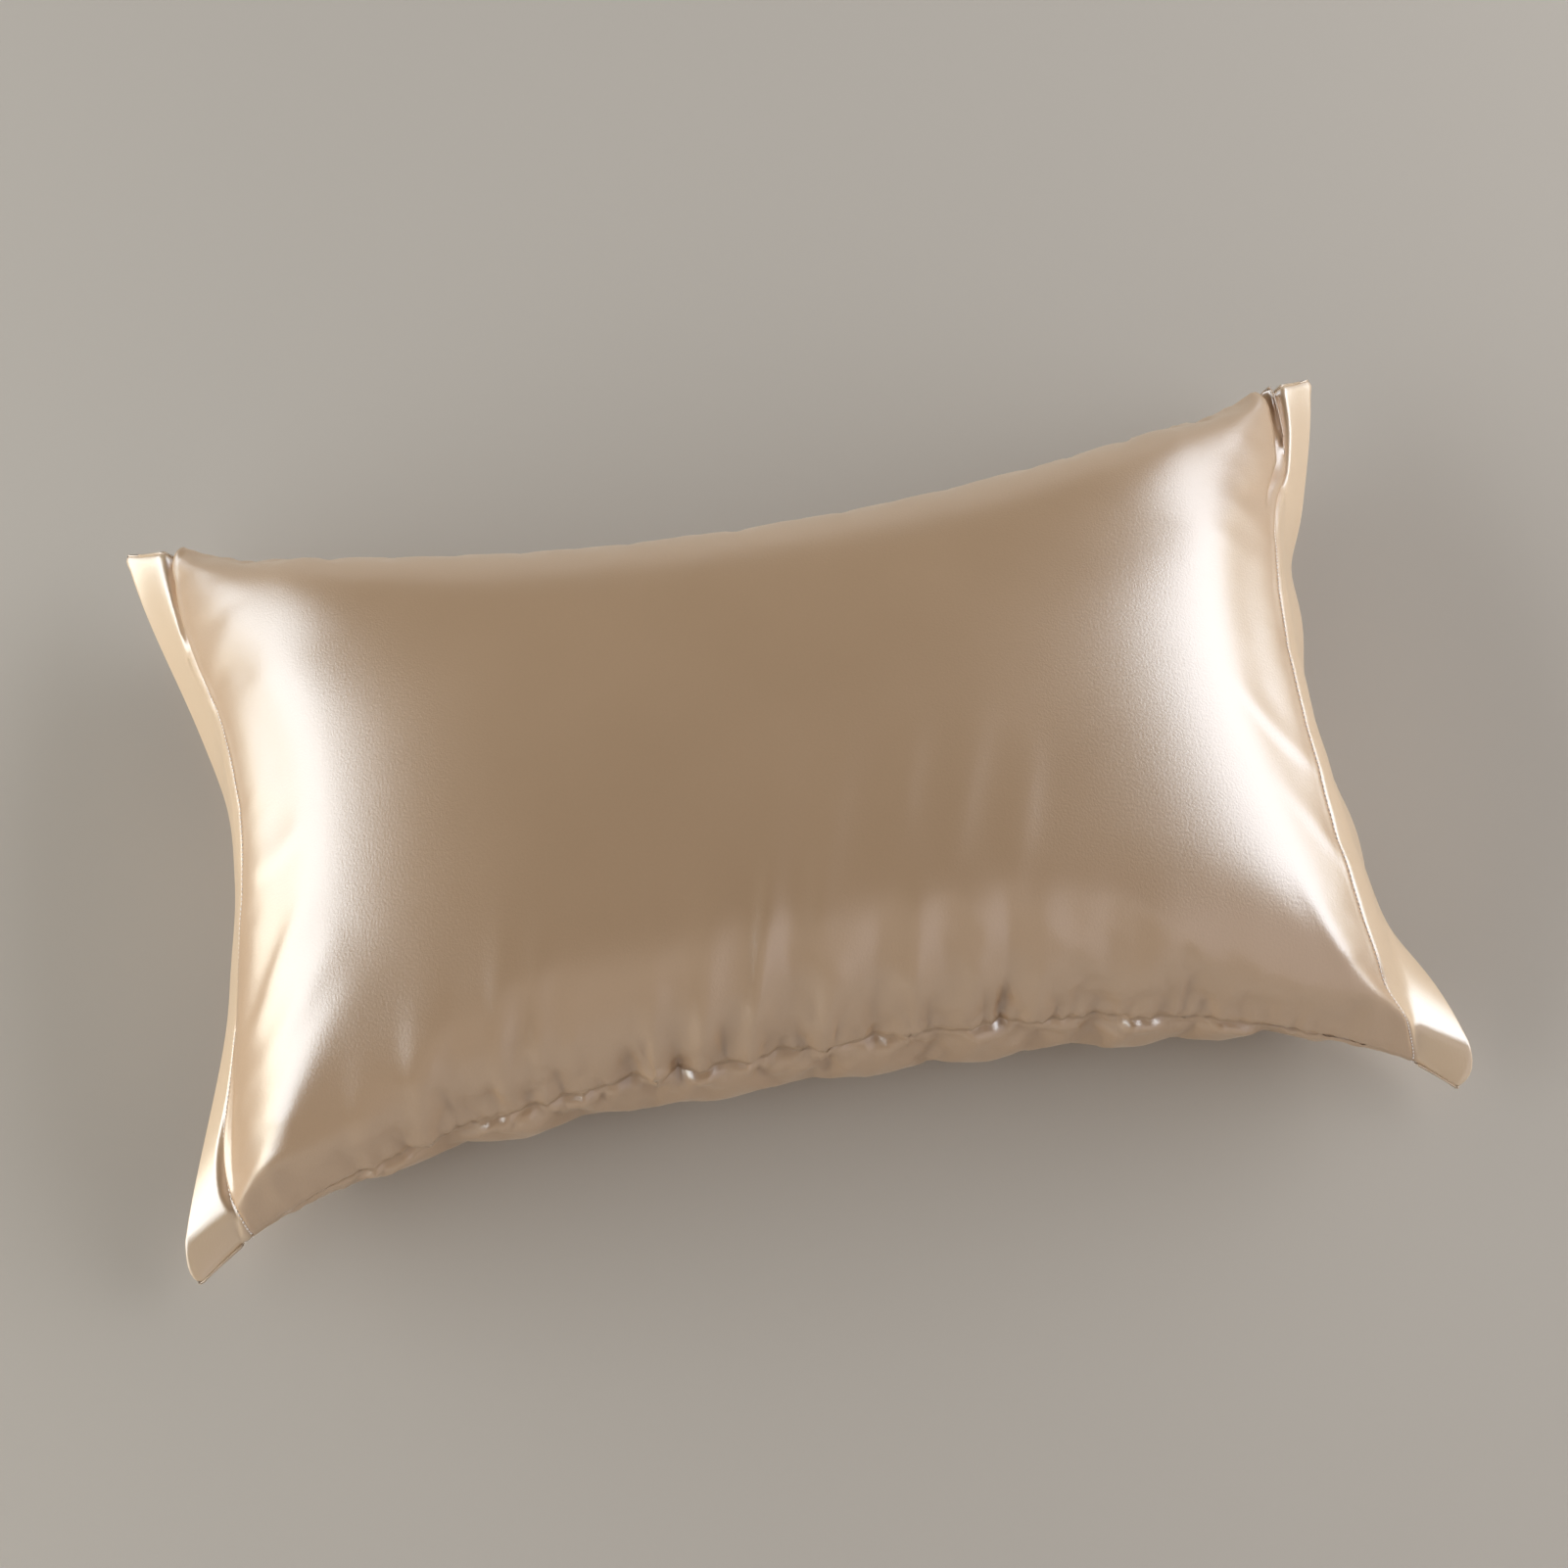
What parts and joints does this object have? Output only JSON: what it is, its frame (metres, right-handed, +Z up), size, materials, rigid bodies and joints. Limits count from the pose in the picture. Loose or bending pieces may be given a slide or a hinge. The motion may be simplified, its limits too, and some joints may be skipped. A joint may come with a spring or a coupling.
{
  "type": "filled pillowcase",
  "caption": "Satin pillowcase with a pillow inside, lying on its back: plump crown, drawn-in sides, puckered side seams and a deep stitched hem at each end.",
  "frame": {"origin": "middle of the flat patch underneath, on the surface that the case lies on", "axes": "+X along the case's length, +Y across it away from the viewer, +Z up out of its crown"},
  "size_m": [0.716, 0.4328, 0.1999],
  "materials": {
    "satin": "smooth champagne satin weave with a soft bright sheen",
    "thread": "fine sewing thread, a shade lighter than the satin"
  },
  "bodies": {
    "root": {"pillowcase": "satin"}
  },
  "joints": []
}
